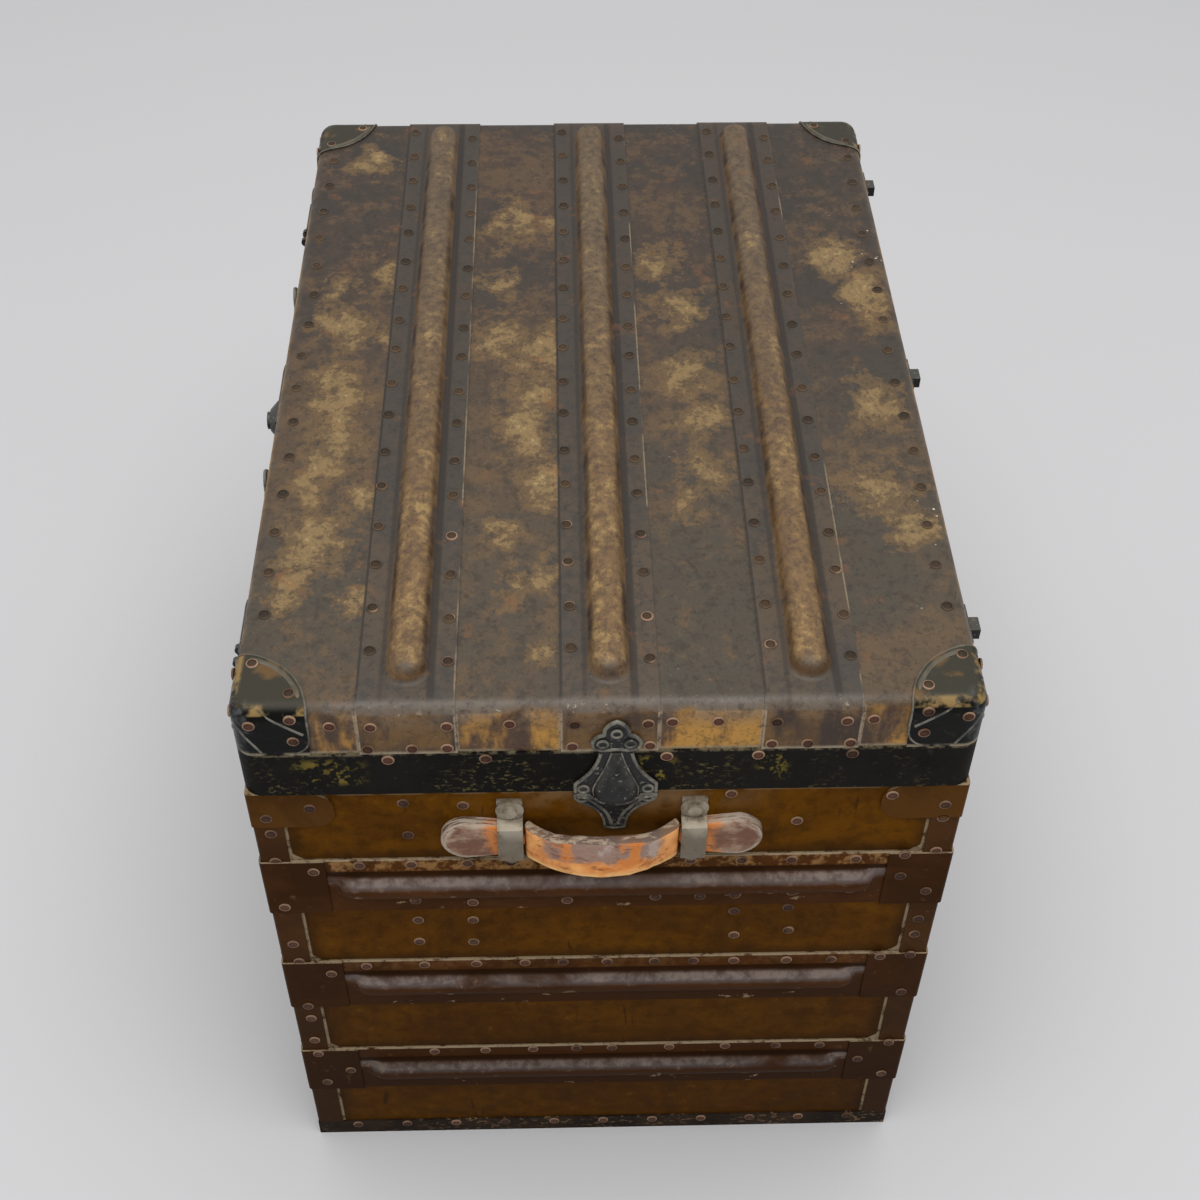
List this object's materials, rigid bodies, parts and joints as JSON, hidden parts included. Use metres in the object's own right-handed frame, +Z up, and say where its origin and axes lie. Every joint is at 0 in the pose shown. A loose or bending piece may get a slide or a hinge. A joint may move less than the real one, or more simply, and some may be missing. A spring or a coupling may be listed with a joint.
{
  "type": "travel trunk",
  "caption": "Fibre-covered travel trunk with a hinged lid, pressed bands and ribs, iron corner caps, clamps, front lock, draw latches and a leather strap handle on each end.",
  "frame": {"origin": "on the floor under the middle of the body's base", "axes": "+X along the trunk towards its right end as seen from the lock side, +Y towards the hinges at the back, -Y towards the lock at the front, +Z up"},
  "size_m": [0.874, 0.5899, 0.6528],
  "materials": {
    "board": "matte",
    "tongue_board": "matte",
    "body_fibre": "satin",
    "band_fibre": "satin",
    "lid_fibre": "satin",
    "black_iron": "satin",
    "worn_steel": "satin",
    "dark_leather": "matte",
    "tan_leather": "matte"
  },
  "bodies": {
    "trunk_body": {"floor_board": "board", "front_board": "board", "back_board": "board", "left_end_board": "board", "right_end_board": "board", "front_cover": "body_fibre", "back_cover": "body_fibre", "left_end_cover": "body_fibre", "right_end_cover": "body_fibre", "bottom_cover": "body_fibre", "base_binding_front": "black_iron", "base_binding_back": "black_iron", "base_binding_left_end": "black_iron", "base_binding_right_end": "black_iron", "corner_strips": "band_fibre", "front_bands": "band_fibre", "back_bands": "band_fibre", "left_end_bands": "band_fibre", "right_end_bands": "band_fibre", "corner_wraps": "band_fibre", "rim_corner_caps": "band_fibre", "rim_tongues": "tongue_board", "tray_cleats": "board", "end_clamp_receivers": "black_iron", "front_clamp_receivers": "black_iron", "handle_loops": "worn_steel", "handle_bolts": "worn_steel", "handle_ends_right_end": "dark_leather", "handle_ends_left_end": "dark_leather", "hinge_body_leaves": "black_iron", "hinge_pins": "worn_steel", "lock_body_plate": "black_iron", "latch_catch_left": "black_iron", "latch_catch_right": "black_iron"},
    "lid": {"lid_top_board": "board", "lid_front_board": "board", "lid_back_board": "board", "lid_left_end_board": "board", "lid_right_end_board": "board", "lid_cover": "lid_fibre", "lid_binding": "black_iron", "lid_band_front": "lid_fibre", "lid_band_middle": "lid_fibre", "lid_band_back": "lid_fibre", "lid_corner_caps": "black_iron", "end_clamp_hoods": "black_iron", "front_clamp_hoods": "black_iron", "hinge_lid_leaves": "black_iron", "lock_lid_mount": "black_iron", "latch_mount_left": "black_iron", "latch_mount_right": "black_iron", "front_fitting_pins": "worn_steel"},
    "lock_hasp": {"lock_hasp": "black_iron"},
    "latch_left": {"latch_bolt_left": "black_iron"},
    "latch_right": {"latch_bolt_right": "black_iron"},
    "handle_right": {"handle_grip_right_end": "tan_leather"},
    "handle_left": {"handle_grip_left_end": "tan_leather"}
  },
  "joints": [
    {"name": "lid_hinge", "type": "hinge", "parent": "trunk_body", "child": "lid", "pos_m": [0, 0.2848, 0.54115], "axis": [-1, 0, 0], "range_deg": [0, 100]},
    {"name": "lock_hasp_hinge", "type": "hinge", "parent": "lid", "child": "lock_hasp", "pos_m": [0, -0.2839, 0.5973], "axis": [-1, 0, 0], "range_deg": [0, 115]},
    {"name": "latch_left_hinge", "type": "hinge", "parent": "lid", "child": "latch_left", "pos_m": [-0.29, -0.2839, 0.5973], "axis": [-1, 0, 0], "range_deg": [0, 115]},
    {"name": "latch_right_hinge", "type": "hinge", "parent": "lid", "child": "latch_right", "pos_m": [0.29, -0.2839, 0.5973], "axis": [-1, 0, 0], "range_deg": [0, 115]},
    {"name": "handle_right_hinge", "type": "hinge", "parent": "trunk_body", "child": "handle_right", "pos_m": [0.411, 0, 0.503], "axis": [0, -1, 0], "range_deg": [0, 70]},
    {"name": "handle_left_hinge", "type": "hinge", "parent": "trunk_body", "child": "handle_left", "pos_m": [-0.411, 0, 0.503], "axis": [0, 1, 0], "range_deg": [0, 70]}
  ]
}
